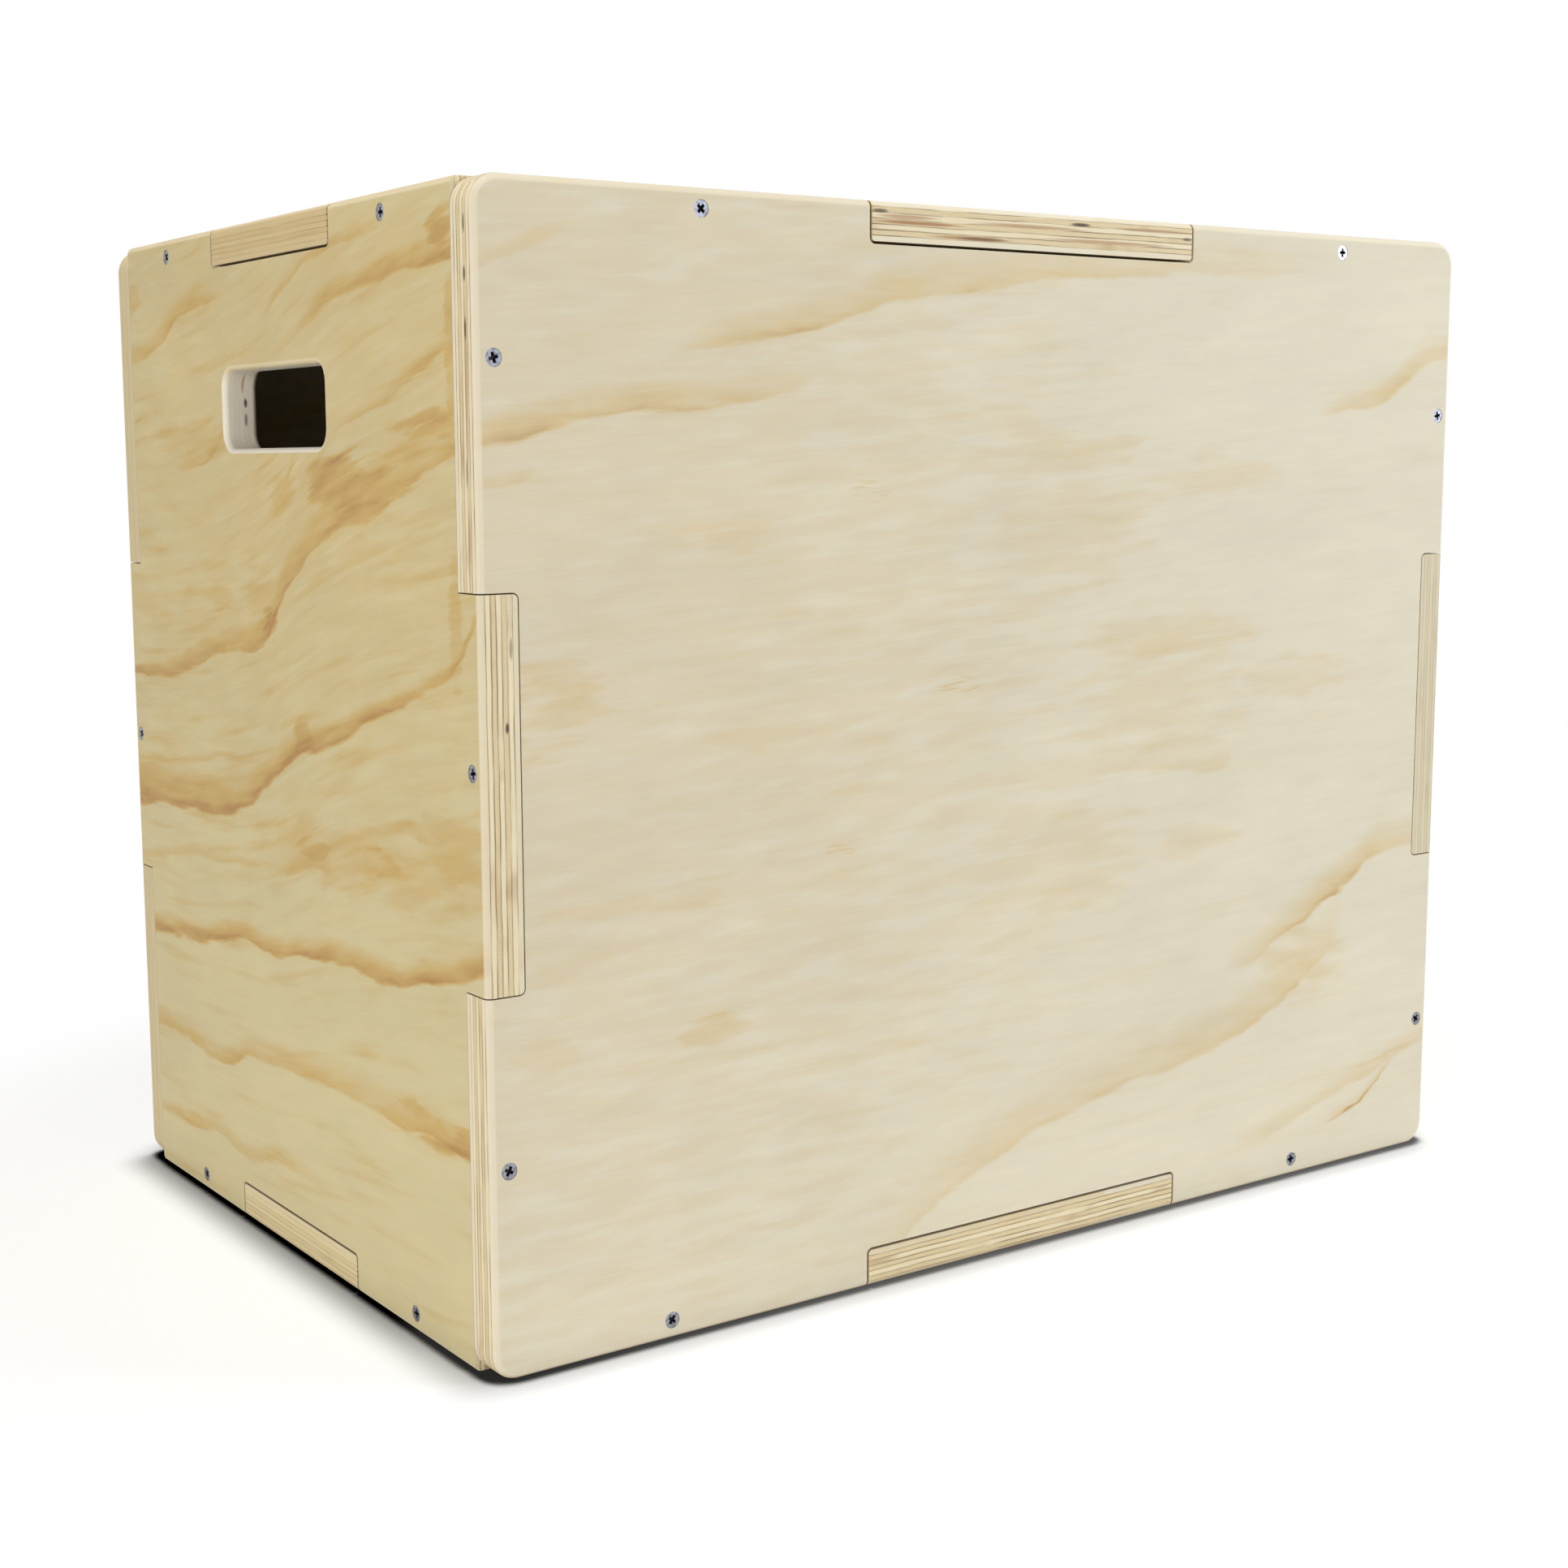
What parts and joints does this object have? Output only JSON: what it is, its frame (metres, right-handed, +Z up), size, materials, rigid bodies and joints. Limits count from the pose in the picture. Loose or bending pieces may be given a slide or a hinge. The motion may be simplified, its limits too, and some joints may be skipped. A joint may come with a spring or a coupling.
{
  "type": "plyo box",
  "caption": "Rectangular plywood jump box of finger-jointed, screwed panels with a hand slot in each end, usable at a different height on each face.",
  "frame": {"origin": "centre of the underside, on the floor", "axes": "+Z up, +X along the long side, front face towards -Y, hand slots in the -X and +X ends"},
  "size_m": [0.61, 0.406, 0.508],
  "materials": {
    "pine_plywood": "raw sanded pine plywood with visible plies on the edges",
    "zinc_screw": "bright zinc plate"
  },
  "bodies": {
    "root": {"front_panel": "pine_plywood", "back_panel": "pine_plywood", "left_panel": "pine_plywood", "right_panel": "pine_plywood", "top_panel": "pine_plywood", "bottom_panel": "pine_plywood", "front_panel_screws": "zinc_screw", "back_panel_screws": "zinc_screw", "left_panel_screws": "zinc_screw", "right_panel_screws": "zinc_screw", "top_panel_screws": "zinc_screw", "bottom_panel_screws": "zinc_screw"}
  },
  "joints": []
}
